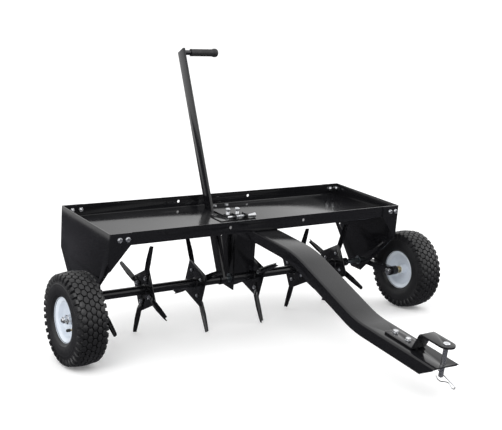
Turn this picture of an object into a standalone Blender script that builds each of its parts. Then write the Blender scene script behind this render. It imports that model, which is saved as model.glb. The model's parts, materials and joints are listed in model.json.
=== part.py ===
"""Core aerator towed behind a lawn tractor, as separate solids in metres, +Z up.

The design frame has its origin on the tine axle: X runs across the machine, -Y points
forwards along the tow bar and Z points up from the tray. The whole machine is then pitched
nose down, so that it stands on its two tyres and on its tines, and set down on Z = 0.
"""

from math import atan2, cos, pi, radians, sin, tan

import bmesh
import bpy
from mathutils import Matrix, Vector

GAP = 0.0003
PITCH = radians(7.5)

# Wheels and the crank arms that carry them
TYRE_RADIUS = 0.127
TYRE_HALF_WIDTH = 0.043
RIM_RADIUS = 0.062
BEAD_RADIUS = 0.053
WHEEL_X = 0.593
CRANK_LENGTH = 0.145
CRANK_RISE = radians(1.8)
CRANK_INNER_X = 0.517
CRANK_OUTER_X = 0.547
WHEEL_BOLT_RADIUS = 0.0063
HUB_RADIUS = 0.015
VALVE_PLACE = (-0.0385, -0.0145)
VALVE_RADIUS = 0.003

# Tray and end panels
TRAY_HALF_LENGTH = 0.5073
TRAY_FRONT = -0.1617
TRAY_REAR = 0.1517
TRAY_RIM = 0.233
TRAY_FLOOR = 0.198
TRAY_SHEET = 0.002
PANEL_SHEET = 0.0025
PANEL_OUTER_X = 0.5108
PANEL_FLANGE = 0.065
PANEL_FOOT = -0.031

# Axle, tine shafts and tines
AXLE_RADIUS = 0.008
TUBE_RADIUS = 0.0135
TUBE_BORE = 0.0085
LEFT_TUBE = (-0.505, -0.055)
RIGHT_TUBE = (-0.008, 0.455)
PLATE_HALF_DIAGONAL = 0.072
PLATE_SHEET = 0.003
TINE_ROOT = 0.026
TINE_REACH = 0.153
TINE_SHEET = 0.0028
LEFT_STARS = ((-0.474, 26, 1), (-0.310, 15, -1), (-0.137, -30, 1))
RIGHT_STARS = ((0.0745, -30, -1), (0.241, 15, 1), (0.400, 15, 1))

# Lift lever and latch
LEVER_LEAN = radians(26)
LEVER_X = -0.042
LEVER_SHEET = 0.008
LEVER_DEPTH = 0.036
LEVER_LENGTH = 0.741
GRIP_RADIUS = 0.012
LATCH_Y = -0.030
LATCH_HEIGHT = 0.206
LATCH_RADIUS = 0.0035
LATCH_BASE = 0.002

# Tow bar and hitch
BAR_HALF_WIDTH = 0.041
BAR_DEPTH = 0.034
BAR_SHEET = 0.003
BAR_PATH = ((-0.024, 0.1957), (-0.175, 0.1957), (-0.346, 0.1883), (-0.628, 0.0912), (-0.917, 0.0714))
BAR_BENDS = (0.9, 0.36, 0.26)
STRAP_HALF_WIDTH = 0.022
STRAP_SHEET = 0.005
STRAP_RISE = 0.0465
HITCH_Y = -0.904
HITCH_BOLTS = (0.169, 0.123)
PIN_RADIUS = 0.006
CLIP_SLOPE = radians(14)
CLIP_WIRE = 0.00125


# ---------------------------------------------------------------- materials


def material(name, colour, roughness, metallic):
    made = bpy.data.materials.new(name)
    made.use_nodes = True
    shader = made.node_tree.nodes["Principled BSDF"]
    shader.inputs["Base Color"].default_value = (*colour, 1.0)
    shader.inputs["Roughness"].default_value = roughness
    shader.inputs["Metallic"].default_value = metallic
    made.diffuse_color = (*colour, 1.0)
    return made


# ---------------------------------------------------------------- shape tools


def object_of(mesh_data, name="shape"):
    mesh = bpy.data.meshes.new(name)
    mesh_data.to_mesh(mesh)
    mesh_data.free()
    made = bpy.data.objects.new(name, mesh)
    bpy.context.scene.collection.objects.link(made)
    return made


def solid(bm):
    """The closed mesh with its faces turned outwards."""
    bmesh.ops.recalc_face_normals(bm, faces=bm.faces)
    if bm.calc_volume(signed=True) < 0:
        bmesh.ops.reverse_faces(bm, faces=bm.faces)
    return object_of(bm)


def loft(rings, cyclic=False):
    """A skin over rings of equally many points, capped at both ends or joined end to end."""
    bm = bmesh.new()
    loops = [[bm.verts.new(point) for point in ring] for ring in rings]
    pairs = list(zip(loops, loops[1:]))
    if cyclic:
        pairs.append((loops[-1], loops[0]))
    else:
        bm.faces.new(reversed(loops[0]))
        bm.faces.new(loops[-1])
    for first, second in pairs:
        for i in range(len(first)):
            j = (i + 1) % len(first)
            bm.faces.new((first[i], first[j], second[j], second[i]))
    return solid(bm)


def prism(outline, low, high, axis="X"):
    """An outline extruded along an axis. Its points are (y, z), (x, z) or (x, y)."""
    place = {
        "X": lambda a, b, c: (c, a, b),
        "Y": lambda a, b, c: (a, c, b),
        "Z": lambda a, b, c: (a, b, c),
    }[axis]
    return loft([[place(a, b, c) for a, b in outline] for c in (low, high)])


def block(low, high):
    outline = ((low[0], low[1]), (high[0], low[1]), (high[0], high[1]), (low[0], high[1]))
    return prism(outline, low[2], high[2], "Z")


def polar(radius, angle):
    return radius * cos(angle), radius * sin(angle)


def circle(radius, sides, centre=(0.0, 0.0), start=0.0):
    points = [polar(radius, start + 2 * pi * i / sides) for i in range(sides)]
    return [(centre[0] + a, centre[1] + b) for a, b in points]


def rod(radius, low, high, axis="X", centre=(0.0, 0.0), sides=16):
    return prism(circle(radius, sides, centre), low, high, axis)


def turned(profile, sides, start=0.0):
    """A closed (x, radius) profile turned about the X axis."""
    rings = []
    for i in range(sides):
        angle = start + 2 * pi * i / sides
        rings.append([(x, *polar(r, angle)) for x, r in profile])
    return loft(rings, cyclic=True)


def stacked(sections, sides=12):
    """Round or six-sided sections stacked along +Z: each is (z, radius, is_hexagon)."""
    rings = []
    for z, radius, is_hexagon in sections:
        ring = []
        for i in range(sides):
            shrink = cos(pi / 6) if is_hexagon and i % 2 else 1.0
            ring.append((*polar(radius * shrink, 2 * pi * i / sides), z))
        rings.append(ring)
    return loft(rings)


def tube_along(points, radius, sides=6):
    """A round wire through the points, each ring square to the path."""
    path = [Vector(point) for point in points]
    rings = []
    side = None
    for i, here in enumerate(path):
        along = (path[min(i + 1, len(path) - 1)] - path[max(i - 1, 0)]).normalized()
        if side is None:
            side = along.orthogonal().normalized()
        side = (side - along * side.dot(along)).normalized()
        up = along.cross(side)
        ring = []
        for k in range(sides):
            a, b = polar(radius, 2 * pi * k / sides)
            ring.append(here + side * a + up * b)
        rings.append(ring)
    return loft(rings)


def filleted(points, radii, steps=4):
    """The open polyline with each inner corner rounded by an arc."""
    path = [Vector(point) for point in points]
    result = [path[0]]
    for i in range(1, len(path) - 1):
        before = (path[i - 1] - path[i]).normalized()
        after = (path[i + 1] - path[i]).normalized()
        half = before.angle(after) / 2
        radius = radii[i - 1]
        centre = path[i] + (before + after).normalized() * (radius / sin(half))
        start = path[i] + before * (radius / tan(half)) - centre
        end = path[i] + after * (radius / tan(half)) - centre
        sweep = start.angle(end)
        for k in range(steps + 1):
            turn = sweep * k / steps
            result.append(centre + (start * sin(sweep - turn) + end * sin(turn)) / sin(sweep))
    result.append(path[-1])
    return result


def thickened(points, thickness):
    """The closed outline of a sheet whose middle follows the open polyline."""
    sides = ([], [])
    for i, here in enumerate(points):
        before = points[max(i - 1, 0)]
        after = points[min(i + 1, len(points) - 1)]
        first = (here - before).normalized() if i else (after - here).normalized()
        second = (after - here).normalized() if i < len(points) - 1 else first
        normal = Vector((-(first + second).y, (first + second).x)).normalized()
        reach = thickness / 2 / max(normal.dot(Vector((-first.y, first.x))), 0.5)
        sides[0].append(here + normal * reach)
        sides[1].append(here - normal * reach)
    return [tuple(point) for point in sides[0] + sides[1][::-1]]


def combined(base, others, operation):
    """The base after exact Booleans with the others, which are used up."""
    for other in others:
        modifier = base.modifiers.new(operation, "BOOLEAN")
        modifier.operation = operation
        modifier.object = other
        modifier.solver = "EXACT"
        bpy.context.view_layer.update()
        result = bpy.data.meshes.new_from_object(
            base.evaluated_get(bpy.context.evaluated_depsgraph_get())
        )
        base.modifiers.clear()
        base.data = result
        bpy.data.objects.remove(other)
    return base


def beyond(start, end, share=1.06):
    """The point on the line from start to end, a little past its end."""
    return tuple(a + (b - a) * share for a, b in zip(start, end))


def united(*parts):
    return combined(parts[0], parts[1:], "UNION")


def cut(base, *cutters):
    return combined(base, cutters, "DIFFERENCE")


def kept_inside(base, *limits):
    return combined(base, limits, "INTERSECT")


def moved(shape, matrix):
    shape.data.transform(matrix)
    if matrix.determinant() < 0:
        shape.data.flip_normals()
    return shape


def node(name, shape, finish, parent, location=(0.0, 0.0, 0.0)):
    """Makes the shape a named sub-part. Its mesh is measured from its parent's origin."""
    shape.name = name
    shape.data.name = name
    shape.data.materials.clear()
    shape.data.materials.append(finish)
    shape.data.shade_smooth()
    shape.data.set_sharp_from_angle(angle=radians(35))
    shape.parent = parent
    shape.location = location
    return shape


def empty(name, parent=None, location=(0.0, 0.0, 0.0)):
    made = bpy.data.objects.new(name, None)
    made.empty_display_size = 0.05
    made.parent = parent
    made.location = location
    bpy.context.scene.collection.objects.link(made)
    return made


def lean(angle):
    """Turns +Y towards +Z about the X axis."""
    return Matrix.Rotation(angle, 4, "X")


# ---------------------------------------------------------------- tray and panels


def tray():
    """A shallow trough bent from one sheet, with the lever's slot and two holes in each flange."""
    half = TRAY_SHEET / 2
    corners = (
        (TRAY_FRONT + half, TRAY_RIM),
        (TRAY_FRONT + half, TRAY_FLOOR - half),
        (TRAY_REAR - half, TRAY_FLOOR - half),
        (TRAY_REAR - half, TRAY_RIM),
    )
    path = filleted(corners, (0.003, 0.003), steps=2)
    trough = prism(thickened(path, TRAY_SHEET), -TRAY_HALF_LENGTH, TRAY_HALF_LENGTH)
    floor = TRAY_FLOOR
    slot = block((LEVER_X - 0.006, -0.038, floor - 0.01), (LEVER_X + 0.006, 0.122, floor + 0.01))
    holes = []
    for side in (-1, 1):
        for middle, shift in ((TRAY_FRONT, 0.0), (TRAY_REAR, 0.0065)):
            place = (side * 0.130 + shift, 0.217)
            holes.append(rod(0.0045, middle - 0.01, middle + 0.01, "Y", place, sides=10))
    return cut(trough, slot, *holes)


def end_panel(side):
    """A folded side sheet with a triangular flange in front of and behind the tray."""
    half = PANEL_SHEET / 2
    front = TRAY_FRONT - GAP - half
    rear = TRAY_REAR + GAP + half
    outer = PANEL_OUTER_X - half
    inner = PANEL_OUTER_X - PANEL_FLANGE
    plan = filleted(((inner, front), (outer, front), (outer, rear), (inner, rear)), (0.0027, 0.0027), 3)
    sheet = prism(thickened(plan, PANEL_SHEET), PANEL_FOOT, TRAY_RIM, "Z")
    above = TRAY_RIM + 0.01
    below = PANEL_FOOT - 0.01
    profile = (
        (front - 0.01, above),
        beyond((-0.016, PANEL_FOOT), (front - half, 0.130)),
        beyond((front - half, 0.130), (-0.016, PANEL_FOOT)),
        beyond((rear + half, 0.114), (0.034, PANEL_FOOT)),
        beyond((0.034, PANEL_FOOT), (rear + half, 0.114)),
        (rear + 0.01, above),
    )
    flange_shape = (
        (PANEL_OUTER_X + 0.01, below),
        (PANEL_OUTER_X + 0.01, above),
        (inner - 0.01, above),
        (inner - 0.01, TRAY_FLOOR - 0.0095),
        (inner, TRAY_FLOOR + 0.002),
        (PANEL_OUTER_X - 0.006, 0.130),
        (PANEL_OUTER_X - 0.006, below),
    )
    sheet = kept_inside(sheet, prism(profile, 0.0, 1.0), prism(flange_shape, -1.0, 1.0, "Y"))
    sheet = cut(
        sheet,
        rod(0.0107, PANEL_OUTER_X - 0.01, PANEL_OUTER_X + 0.01),
        rod(0.003, PANEL_OUTER_X - 0.01, PANEL_OUTER_X + 0.01, centre=(-0.110, 0.095), sides=8),
        rod(0.003, PANEL_OUTER_X - 0.01, PANEL_OUTER_X + 0.01, centre=(0.116, 0.098), sides=8),
    )
    return sheet if side > 0 else moved(sheet, Matrix.Scale(-1, 4, (1, 0, 0)))


def centre_bearing_plate():
    """The hanger under the middle of the tray, with a wide front flange and a narrow rear one."""
    top = TRAY_FLOOR - TRAY_SHEET - GAP
    left = -0.013
    web_outline = (
        (-0.022, top),
        (-0.022, -0.033),
        (0.034, -0.031),
        (0.070, 0.003),
        (0.112, 0.112),
        (0.125, top),
    )
    web = prism(web_outline, left, left + BAR_SHEET)
    front = block((left, -0.022, 0.020), (0.060, -0.022 + BAR_SHEET, top))
    rear_run = Vector((0.013, top - 0.112))
    rear_outline = (
        (0.112, 0.112),
        (0.112 - BAR_SHEET, 0.112),
        (0.112 - BAR_SHEET + rear_run.x, 0.112 + rear_run.y),
        (0.112 + rear_run.x, 0.112 + rear_run.y),
    )
    rear = prism(rear_outline, left - 0.037, left + BAR_SHEET)
    plate = united(web, front, rear)
    return cut(
        plate,
        rod(0.0107, left - 0.005, left + 0.01),
        rod(0.0045, left - 0.005, left + 0.01, centre=(0.065, 0.122), sides=10),
    )


def axle_bush(low, high, flange_low, flange_high):
    """A flanged bearing ring that lines the axle hole of a sheet."""
    body = rod(0.0104, low, high, sides=16)
    flange = rod(0.014, flange_low, flange_high, sides=16)
    bore = rod(AXLE_RADIUS + GAP, low - 0.01, high + 0.01)
    return cut(united(body, flange), bore)


# ---------------------------------------------------------------- tow bar and hitch


def bar_frames():
    """Points along the tow bar's top, each with the direction square to it."""
    path = filleted(BAR_PATH, BAR_BENDS, steps=3)
    frames = []
    for i, here in enumerate(path):
        along = (path[min(i + 1, len(path) - 1)] - path[max(i - 1, 0)]).normalized()
        frames.append((here, Vector((along.y, -along.x))))
    return frames


def channel_section():
    """The bar's inverted channel as (x, depth below its top), with rounded bends."""
    half = BAR_SHEET / 2
    side = BAR_HALF_WIDTH - half
    corners = ((-side, -BAR_DEPTH), (-side, -half), (side, -half), (side, -BAR_DEPTH))
    return thickened(filleted(corners, (0.004, 0.004), steps=3), BAR_SHEET)


def hitch_frame():
    """Where the hitch pin meets the tow bar's top, with +Z square to the bar there."""
    (start_y, start_z), (end_y, end_z) = BAR_PATH[-2:]
    slope = atan2(start_z - end_z, start_y - end_y)
    height = end_z + (HITCH_Y - end_y) * tan(slope)
    return Matrix.Translation((0.0, HITCH_Y, height)) @ lean(slope)


def hitch_hole(radius, y=0.0):
    """A cutter square to the bar's nose, at a distance behind the hitch pin."""
    return moved(rod(radius, -0.02, 0.08, "Z", (0.0, y), sides=12), hitch_frame())


def tow_bar():
    """The channel that runs forwards and down from the tray to the hitch."""
    section = channel_section()
    rings = []
    for here, up in bar_frames():
        rise = up if up.y > 0 else -up
        ring = []
        for x, height in section:
            place = here + rise * height
            ring.append((x, place.x, place.y))
        rings.append(ring)
    bar = loft(rings)
    nose = ((-0.872, 0.020), (-0.872, 0.0414), (-0.910, 0.0624))
    nose += ((-0.914, 0.0679), (-0.940, 0.0674), (-0.940, 0.020))
    holes = [hitch_hole(0.0045, y) for y in HITCH_BOLTS]
    return cut(bar, prism(nose, -0.1, 0.1), hitch_hole(PIN_RADIUS + 0.0007), *holes)


def hitch_strap():
    """A flat bent up and forwards to hold the top of the hitch pin."""
    base = GAP + STRAP_SHEET / 2
    top = base + STRAP_RISE
    corners = ((0.189, base), (0.086, base), (0.067, top), (-0.0210, top))
    outline = thickened(filleted(corners, (0.006, 0.008), steps=4), STRAP_SHEET)
    strap = prism(outline, -STRAP_HALF_WIDTH, STRAP_HALF_WIDTH)
    reach = STRAP_HALF_WIDTH + 0.0005
    nose = [(x, y + 0.0015) for x, y in (polar(reach, pi + pi * i / 10) for i in range(11))]
    nose = [(-reach, 0.3), *nose, (reach, 0.3)]
    strap = moved(kept_inside(strap, prism(nose, -0.1, 0.1, "Z")), hitch_frame())
    holes = [hitch_hole(0.0045, y) for y in HITCH_BOLTS]
    return cut(strap, hitch_hole(PIN_RADIUS + 0.0007), *holes)


def hitch_bolt(y):
    """A hexagon bolt down through the strap and the bar, set square to the bar."""
    seat = STRAP_SHEET + 2 * GAP
    shape = stacked(
        (
            (-0.016, 0.004, False),
            (seat, 0.004, False),
            (seat, 0.0075, True),
            (seat + 0.0062, 0.0075, True),
        )
    )
    return moved(shape, hitch_frame() @ Matrix.Translation((0.0, y, 0.0)))


def hitch_pin():
    """A domed pin with a cross hole for its clip, measured from the bar's top."""
    top = STRAP_RISE + STRAP_SHEET + 2 * GAP
    shape = stacked(
        (
            (-0.034, 0.0045, False),
            (-0.032, PIN_RADIUS, False),
            (top, PIN_RADIUS, False),
            (top, 0.0088, False),
            (top + 0.002, 0.0086, False),
            (top + 0.004, 0.0060, False),
        )
    )
    hole = rod(0.0020, -0.02, 0.02, "Y", sides=8)
    return cut(shape, moved(hole, clip_place()))


def clip_place():
    """The clip's own frame below the bar: its straight leg runs forwards and down."""
    return Matrix.Translation((0.0, 0.0, -0.0235)) @ lean(CLIP_SLOPE)


def hitch_pin_clip():
    """A sprung wire: a straight leg through the pin and a waved leg that hooks under its end."""
    leg = [(0.011, 0.0), (-0.020, 0.0), (-0.046, 0.0)]
    wave = [(-0.051, -0.002), (-0.050, -0.007), (-0.042, -0.0095), (-0.033, -0.0055), (-0.024, -0.0080)]
    wave += [(-0.016, -0.0130), (-0.008, -0.0190), (0.002, -0.0210), (0.011, -0.0170)]
    wire = tube_along([(0.0, y, z) for y, z in leg + wave], CLIP_WIRE)
    return moved(wire, clip_place())


# ---------------------------------------------------------------- lift


def lift_lever():
    """A flat bar from a hub on the axle up through the tray, with a stub for the grip."""
    low, high = LEVER_X - LEVER_SHEET / 2, LEVER_X + LEVER_SHEET / 2
    depth = LEVER_DEPTH / 2
    outline = ((-depth, 0.0), (depth, 0.0), (depth, LEVER_LENGTH - 0.004), (-depth, LEVER_LENGTH))
    bar = prism(outline, low, high)
    hub = rod(0.0165, LEVER_X - 0.010, LEVER_X + 0.010, sides=20)
    stub = rod(0.008, high - 0.004, 0.082, centre=(-0.0015, LEVER_LENGTH - 0.010), sides=12)
    lever = cut(
        united(hub, bar, stub),
        rod(AXLE_RADIUS + GAP, LEVER_X - 0.02, LEVER_X + 0.02),
    )
    return moved(lever, lean(-LEVER_LEAN))


def lever_grip():
    """A moulded sleeve with a flared, rounded end, pushed over the lever's stub."""
    bore = 0.008 + GAP
    profile = [(-0.011, bore), (-0.011, GRIP_RADIUS), (0.070, GRIP_RADIUS - 0.0004)]
    profile += [(0.075, GRIP_RADIUS + 0.0018), (0.083, GRIP_RADIUS + 0.0018)]
    profile += [(0.088, GRIP_RADIUS - 0.004), (0.088, bore)]
    sleeve = turned(profile, 16)
    place = Matrix.Translation((0.0, -0.0015, LEVER_LENGTH - 0.010))
    return moved(sleeve, lean(-LEVER_LEAN) @ place)


def cross_axle():
    reach = CRANK_OUTER_X - 0.002
    return rod(AXLE_RADIUS, -reach, reach, sides=16)


def crank_arm(side):
    """A bar from the axle's end to a round boss that holds the wheel bolt."""
    bar = block((CRANK_INNER_X + 0.003, -CRANK_LENGTH, -0.009), (CRANK_OUTER_X - 0.003, 0.0, 0.009))
    hub = rod(0.014, CRANK_INNER_X, CRANK_OUTER_X, sides=16)
    boss = rod(0.0145, CRANK_INNER_X, CRANK_OUTER_X, centre=(-CRANK_LENGTH, 0.0), sides=16)
    arm = cut(
        united(hub, bar, boss),
        rod(AXLE_RADIUS + GAP, 0.0, 1.0),
        rod(WHEEL_BOLT_RADIUS + GAP, 0.0, 1.0, centre=(-CRANK_LENGTH, 0.0), sides=12),
    )
    arm = moved(arm, lean(-CRANK_RISE))
    return arm if side > 0 else moved(arm, Matrix.Scale(-1, 4, (1, 0, 0)))


def along_x(shape, side):
    """Turns a shape built along +Z to point outwards from the machine's middle."""
    return moved(shape, Matrix.Rotation(side * pi / 2, 4, "Y"))


def wheel_bolt(side):
    """The bolt that a wheel turns on: head inside, thick washer and nut outside."""
    head = CRANK_INNER_X - GAP - WHEEL_X
    washer, nut = 0.0152, 0.0246
    shape = stacked(
        (
            (head - 0.009, 0.0105, True),
            (head, 0.0105, True),
            (head, WHEEL_BOLT_RADIUS, False),
            (washer, WHEEL_BOLT_RADIUS, False),
            (washer, 0.0130, False),
            (nut, 0.0130, False),
            (nut, 0.0105, True),
            (nut + 0.0105, 0.0105, True),
            (nut + 0.0105, 0.0055, False),
            (nut + 0.0150, 0.0055, False),
        )
    )
    return along_x(shape, side)


def wheel_spacer(side):
    """The flanged sleeve between the crank arm and the wheel's hub."""
    start = CRANK_OUTER_X + GAP - WHEEL_X
    bore = WHEEL_BOLT_RADIUS + GAP
    profile = [(start, bore), (start, 0.0095), (start + 0.012, 0.0085), (start + 0.013, 0.0115)]
    profile += [(-0.028, 0.0115), (-0.028, bore)]
    return turned([(side * x, r) for x, r in profile], 16)


def rim(side):
    """Two pressed dishes joined at the middle, with a barrel for the tyre and a hub tube."""
    bore = WHEEL_BOLT_RADIUS + GAP
    hub_start = -0.0277
    face = [(0.0149, bore), (0.0149, HUB_RADIUS), (0.007, 0.018), (0.0055, 0.036), (0.015, 0.046)]
    face += [(0.029, 0.050), (0.0345, RIM_RADIUS)]
    barrel = [(0.0280, BEAD_RADIUS), (-0.0280, BEAD_RADIUS)]
    back = [(-0.0345, RIM_RADIUS), (-0.029, 0.050), (-0.015, 0.046), (-0.0035, 0.036), (-0.005, 0.018)]
    back += [(-0.012, HUB_RADIUS), (hub_start, HUB_RADIUS), (hub_start, bore)]
    wheel = turned([(side * x, r) for x, r in face + barrel + back], 24)
    return cut(wheel, rod(VALVE_RADIUS + 0.001, -0.02, 0.06, "X", VALVE_PLACE, sides=8))


def valve_stem(side):
    """A short stem with a cap, seated in the rim's outer dish."""
    shape = stacked(
        (
            (-0.004, VALVE_RADIUS, False),
            (0.0310, VALVE_RADIUS, False),
            (0.0310, 0.0042, False),
            (0.0410, 0.0042, False),
            (0.0420, 0.0030, False),
        ),
        sides=10,
    )
    shape = along_x(shape, side)
    return moved(shape, Matrix.Translation((0.0, *VALVE_PLACE)))


def tyre(side):
    """A hollow tyre whose two beads sit on the rim, open to it on the inside."""
    wall = TYRE_HALF_WIDTH
    outer = [(0.0272, BEAD_RADIUS + 0.0004), (0.0338, RIM_RADIUS + 0.0006), (wall - 0.002, 0.072)]
    outer += [(wall, 0.090), (wall - 0.001, 0.110), (wall - 0.005, 0.1205), (0.022, 0.1260)]
    inner = [(0.0215, BEAD_RADIUS + 0.0004), (0.0290, 0.068), (0.0350, 0.090), (0.0290, 0.112)]
    profile = outer + [(0.0, TYRE_RADIUS)] + [(-x, r) for x, r in outer[::-1]]
    profile += [(-x, r) for x, r in inner] + [(0.0, 0.118)] + inner[::-1]
    return turned([(side * x, r) for x, r in profile], 28, start=-pi / 2 - PITCH)


# ---------------------------------------------------------------- tine gangs


def tine_shaft(tube_span, stars):
    """A tube with three square plates welded square to it, each turned to its own angle."""
    tube = rod(TUBE_RADIUS, *tube_span, sides=16)
    plates = []
    for x, phase, _ in stars:
        outline = []
        for quarter in range(4):
            corner = radians(phase + 90 * quarter)
            for offset in (-0.06, 0.06):
                outline.append(polar(PLATE_HALF_DIAGONAL, corner + offset))
        plates.append(prism(outline, x - PLATE_SHEET / 2, x + PLATE_SHEET / 2))
    bore = rod(TUBE_BORE, tube_span[0] - 0.01, tube_span[1] + 0.01, sides=16)
    return cut(united(tube, *plates), bore)


def tine(x, angle, side):
    """One spoon: a flat root bolted to its plate that turns into a tapered, open trough."""
    stations = (
        (TINE_ROOT, 0.0095, 0.0),
        (0.046, 0.0095, 0.0),
        (0.066, 0.0098, 0.0075),
        (0.100, 0.0092, 0.0090),
        (0.140, 0.0064, 0.0075),
        (TINE_REACH, 0.0055, 0.0065),
    )
    across = (-1.0, -0.45, 0.45, 1.0)
    rings = []
    for radius, half_width, bulge in stations:
        top = [(s * half_width, bulge * min(1.0, (1 - abs(s)) * 1.82)) for s in across]
        ring = []
        for sideways, height in top:
            ring.append((height + TINE_SHEET, sideways, radius))
        for sideways, height in reversed(top):
            ring.append((height, sideways * 0.94, radius))
        rings.append(ring)
    shape = loft(rings)
    seat = PLATE_SHEET / 2 + GAP
    if side < 0:
        moved(shape, Matrix.Scale(-1, 4, (1, 0, 0)))
    place = Matrix.Translation((x + side * seat, 0.0, 0.0)) @ lean(angle - pi / 2)
    return moved(shape, place)


# ---------------------------------------------------------------- latch and tray bolts


def latch_bracket():
    """A base plate round the front of the lever's slot, with two ears that guide the latch pin."""
    low = TRAY_FLOOR + GAP
    slot_left, slot_right = LEVER_X - 0.007, LEVER_X + 0.007
    plate = ((slot_left, 0.026), (-0.086, 0.026), (-0.086, -0.0437), (0.018, -0.0437), (0.018, 0.026))
    notch = ((slot_right, 0.026), (slot_right, -0.039), (slot_left, -0.039))
    base = prism(plate + notch, low, low + LATCH_BASE, "Z")
    half = [(-0.012, low), (-0.012, 0.2105), (-0.007, 0.2165)]
    side = half + [(-y, z) for y, z in half[::-1]]
    ears = [prism([(LATCH_Y + y, z) for y, z in side], x, x + 0.003) for x in (-0.0345, 0.0020)]
    hole = rod(LATCH_RADIUS + GAP, -0.05, 0.05, centre=(LATCH_Y, LATCH_HEIGHT), sides=12)
    return cut(united(base, *ears), hole)


def latch_pin():
    """The sliding rod with a flared knob at its outer end."""
    shape = stacked(
        (
            (-0.0550, 0.0028, False),
            (-0.0538, LATCH_RADIUS, False),
            (0.0205, LATCH_RADIUS, False),
            (0.0225, 0.0048, False),
            (0.0425, 0.0073, False),
            (0.0435, 0.0066, False),
        )
    )
    return along_x(shape, 1)


def latch_spring():
    """A compression spring round the latch pin, between the bracket's two ears."""
    start, end = -0.0276, 0.0010
    turns, steps = 5, 8
    points = []
    for i in range(turns * steps + 1):
        a, b = polar(0.0046, 2 * pi * i / steps)
        points.append((start + (end - start) * i / (turns * steps), LATCH_Y + a, LATCH_HEIGHT + b))
    return tube_along(points, 0.0006, sides=5)


def tall_bolt(x, y):
    """A bolt that stands up through the latch base with a hexagon nut near its top."""
    seat = TRAY_FLOOR + LATCH_BASE + 2 * GAP
    shape = stacked(
        (
            (seat, 0.0058, False),
            (seat + 0.0120, 0.0058, False),
            (seat + 0.0120, 0.0082, True),
            (seat + 0.0190, 0.0082, True),
            (seat + 0.0202, 0.0055, False),
        )
    )
    return moved(shape, Matrix.Translation((x, y, 0.0)))


# ---------------------------------------------------------------- assembly


def build_frame(machine, finishes):
    black, zinc, brass = finishes["black"], finishes["zinc"], finishes["brass"]
    node("tray", tray(), black, machine)
    node("left_end_panel", end_panel(-1), black, machine)
    node("right_end_panel", end_panel(1), black, machine)
    node("centre_bearing_plate", centre_bearing_plate(), black, machine)
    inner = PANEL_OUTER_X - PANEL_SHEET
    for name, side in (("left", -1), ("right", 1)):
        span = sorted((side * (inner - 0.0023), side * (PANEL_OUTER_X + 0.002)))
        lip = sorted((side * (inner - 0.0023), side * (inner - GAP)))
        node(f"{name}_axle_bush", axle_bush(*span, *lip), brass, machine)
    node("centre_axle_bush", axle_bush(-0.0156, -0.0088, -0.0156, -0.0133), brass, machine)
    node("tow_bar", tow_bar(), black, machine)
    node("hitch_strap", hitch_strap(), black, machine)
    node("rear_hitch_bolt", hitch_bolt(HITCH_BOLTS[0]), zinc, machine)
    node("front_hitch_bolt", hitch_bolt(HITCH_BOLTS[1]), zinc, machine)
    node("latch_bracket", latch_bracket(), black, machine)
    node("latch_spring", latch_spring(), zinc, machine)
    node("latch_pin", latch_pin(), zinc, empty("latch_axis", machine, (0.0, LATCH_Y, LATCH_HEIGHT)))
    node("left_tray_bolt", tall_bolt(-0.026, 0.0165), zinc, machine)
    node("right_tray_bolt", tall_bolt(0.007, 0.0150), zinc, machine)


def build_hitch(machine, finishes):
    pin_axis = empty("hitch_pin_axis", machine)
    pin_axis.matrix_local = hitch_frame()
    node("hitch_pin", hitch_pin(), finishes["zinc"], pin_axis)
    node("hitch_pin_clip", hitch_pin_clip(), finishes["zinc"], pin_axis)


def build_lift(machine, finishes):
    black, zinc, brass = finishes["black"], finishes["zinc"], finishes["brass"]
    lift = empty("lift_axis", machine)
    node("lift_lever", lift_lever(), black, lift)
    node("lever_grip", lever_grip(), finishes["grip"], lift)
    node("cross_axle", cross_axle(), zinc, lift)
    crank_end = (-CRANK_LENGTH * cos(CRANK_RISE), CRANK_LENGTH * sin(CRANK_RISE))
    for name, side in (("left", -1), ("right", 1)):
        axis = empty(f"{name}_wheel_axis", lift, (side * WHEEL_X, *crank_end))
        node(f"{name}_crank_arm", crank_arm(side), black, lift)
        node(f"{name}_wheel_bolt", wheel_bolt(side), zinc, axis)
        node(f"{name}_wheel_spacer", wheel_spacer(side), brass, axis)
        node(f"{name}_rim", rim(side), finishes["rim"], axis)
        node(f"{name}_tyre", tyre(side), finishes["tyre"], axis)
        node(f"{name}_valve_stem", valve_stem(side), brass, axis)


def build_gangs(machine, finishes):
    black = finishes["black"]
    for name, span, stars in (("left", LEFT_TUBE, LEFT_STARS), ("right", RIGHT_TUBE, RIGHT_STARS)):
        axis = empty(f"{name}_tine_axis", machine)
        node(f"{name}_tine_shaft", tine_shaft(span, stars), black, axis)
        for place, (x, phase, side) in zip(("outer", "middle", "inner"), ordered(stars)):
            for quarter in range(4):
                shape = tine(x, radians(phase + 90 * quarter), side)
                node(f"{name}_{place}_tine_{quarter + 1}", shape, black, axis)


def ordered(stars):
    """The stars from the wheel's end of the shaft to the machine's middle."""
    return sorted(stars, key=lambda star: -abs(star[0]))


def stand_on_ground(machine):
    """Moves the machine until the middle of its box's underside is the world's origin."""
    bpy.context.view_layer.update()
    corners = []
    for obj in bpy.context.scene.objects:
        if obj.type == "MESH":
            corners += [obj.matrix_world @ vertex.co for vertex in obj.data.vertices]
    low = [min(corner[i] for corner in corners) for i in range(3)]
    high = [max(corner[i] for corner in corners) for i in range(3)]
    machine.location -= Vector(((low[0] + high[0]) / 2, (low[1] + high[1]) / 2, low[2]))


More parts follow.
